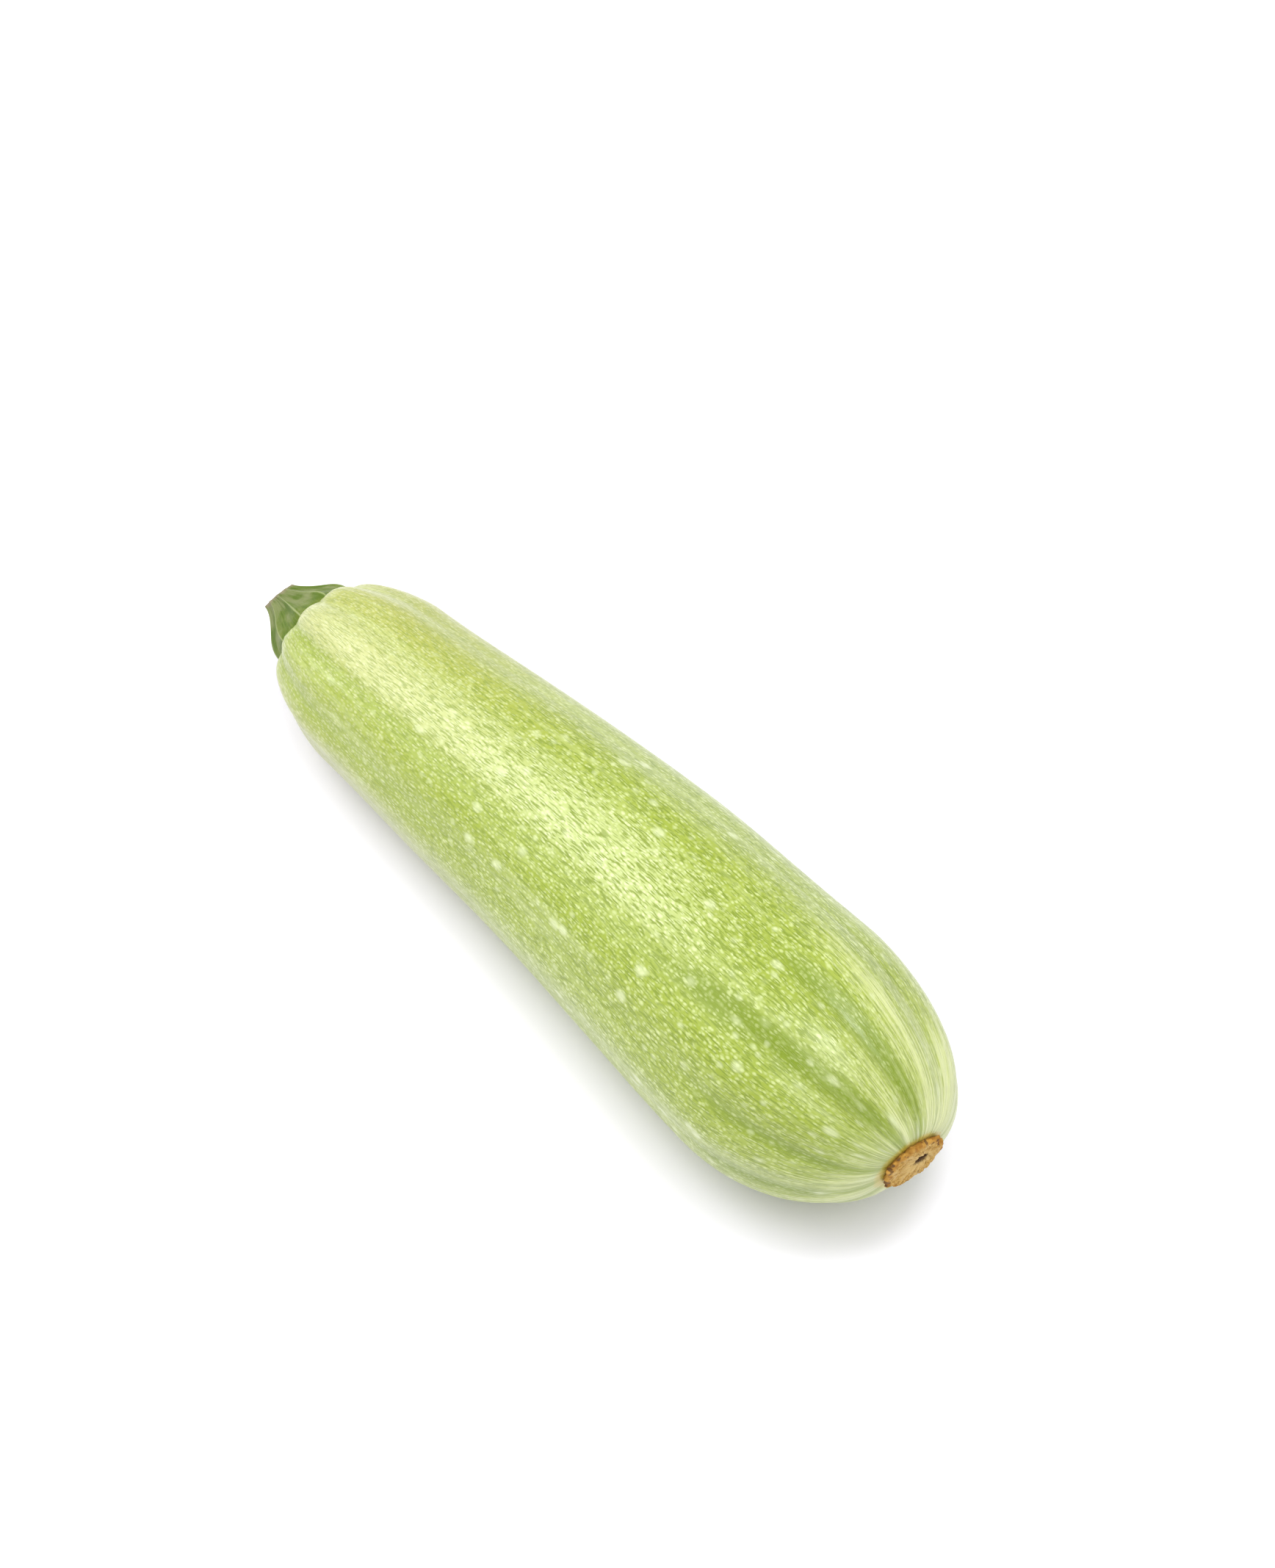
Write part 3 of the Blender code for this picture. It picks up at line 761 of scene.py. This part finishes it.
tan = cork.mix(cork.ramp(grain, 0.36, 0.64), TAN_DARK, TAN_LIGHT)
tan = cork.mix(0.5 * cork.ramp(patches, 0.45, 0.70), tan, TAN_PALE)
tan = cork.mix(0.6 * cork.ramp(cork.stored("scar_crack"), 0.35, 1.2), tan, CRACK_BROWN)
tan = cork.mix(0.8 * cork.ramp(scar_out, 0.62, 0.40), tan, PIT_SLOPE)
# The pit's near-black is painted shade in the hole.
tan = cork.mix(cork.ramp(scar_out + 0.16 * (grain - 0.5), 0.32, 0.19), tan, PAINTED_PIT_SHADE)
rim_brown = cork.mix(cork.ramp(patches, 0.35, 0.65), RIM_DARK, RIM_LIGHT)
rim_brown = cork.mix(0.8 * scabs, rim_brown, SCAB)
cork.set(
    Base_Color=cork.mix(cork.ramp(cork.stored("scar_face") + 0.45 * (grain - 0.5), 0.20, 0.80), rim_brown, tan),
    Roughness=0.85,
    Specular_IOR_Level=0.3,
    Normal=cork.bump(grain + 0.6 * patches, CORK_RELIEF, 1.0),
)
print("nodes of the cork", len(cork.tree.nodes))

# %% [markdown]
# ## Dress the model
#
# Each fine piece takes its finish and rides on the model's one body, and the plain solid in its place is hidden.

# %% Finishes and places
for piece, finish, node, slot in (
        (fruit, skin, "fruit", "pale_green_skin"),
        (stem, stalk, "stem", "stem_green"),
        (scar, cork, "blossom_scar", "dry_cork")):
    piece.data.materials.append(finish.material)
    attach(piece, "root")
    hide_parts(node)
    print(piece.name, "stands for", node)

# %% [markdown]
# ## Studio
#
# The picture was lit to a white ground, with only a soft shadow close to the fruit. A white sky all round does most of
# that. The floor is a trace bluer than white, because the skin throws warm light on it.

# %% Floor and sky
FLOOR_HALF = 6.0
FLOOR_COLOUR = (0.93, 0.91, 0.99)
SKY_STRENGTH = 0.72

floor_mesh = bpy.data.meshes.new("floor")
floor_mesh.from_pydata(
    [(-FLOOR_HALF, -FLOOR_HALF, 0.0), (FLOOR_HALF, -FLOOR_HALF, 0.0),
     (FLOOR_HALF, FLOOR_HALF, 0.0), (-FLOOR_HALF, FLOOR_HALF, 0.0)], [], [(0, 1, 2, 3)])
floor = bpy.data.objects.new("floor", floor_mesh)
bpy.context.scene.collection.objects.link(floor)
pale_floor = Finish("pale_floor")
pale_floor.set(Base_Color=FLOOR_COLOUR, Roughness=0.9, Specular_IOR_Level=0.1)
floor_mesh.materials.append(pale_floor.material)

sky = bpy.data.worlds.new("studio")
sky.use_nodes = True
sky.node_tree.nodes["Background"].inputs["Color"].default_value = (1.0, 1.0, 1.0, 1.0)
sky.node_tree.nodes["Background"].inputs["Strength"].default_value = SKY_STRENGTH
bpy.context.scene.world = sky
bpy.context.scene.view_settings.view_transform = "Standard"
print("floor, m", 2.0 * FLOOR_HALF, "sky strength", SKY_STRENGTH)

# %% [markdown]
# Three soft lamps shape the fruit. A broad one to the upper left lays the long sheen along neck and middle, another
# broad one overhead lights the top, and a small bright one near it leaves the glint before the blossom end.

# %% The lamps
LAMP_TARGET = Vector((0.0, 0.0, 0.03))
# name, direction from the fruit, distance and side in metres, radiance
LAMPS = (
    ("sheen_lamp", (-0.72, -0.28, 0.65), 1.0, 0.75, 2.8),
    ("overhead_lamp", (0.16, -0.10, 0.96), 1.3, 1.05, 2.75),
    ("glint_lamp", (0.14, 0.10, 0.98), 1.1, 0.27, 12.0),
)

for name, direction, distance, size, radiance in LAMPS:
    data = bpy.data.lights.new(name, "AREA")
    data.shape = "SQUARE"
    data.size = size
    data.energy = radiance * math.pi * size * size
    lamp = bpy.data.objects.new(name, data)
    bpy.context.scene.collection.objects.link(lamp)
    lamp.matrix_world = aimed_matrix(LAMP_TARGET + distance * Vector(direction).normalized(), LAMP_TARGET)
    print(name, "gives", round(data.energy, 2), "W")
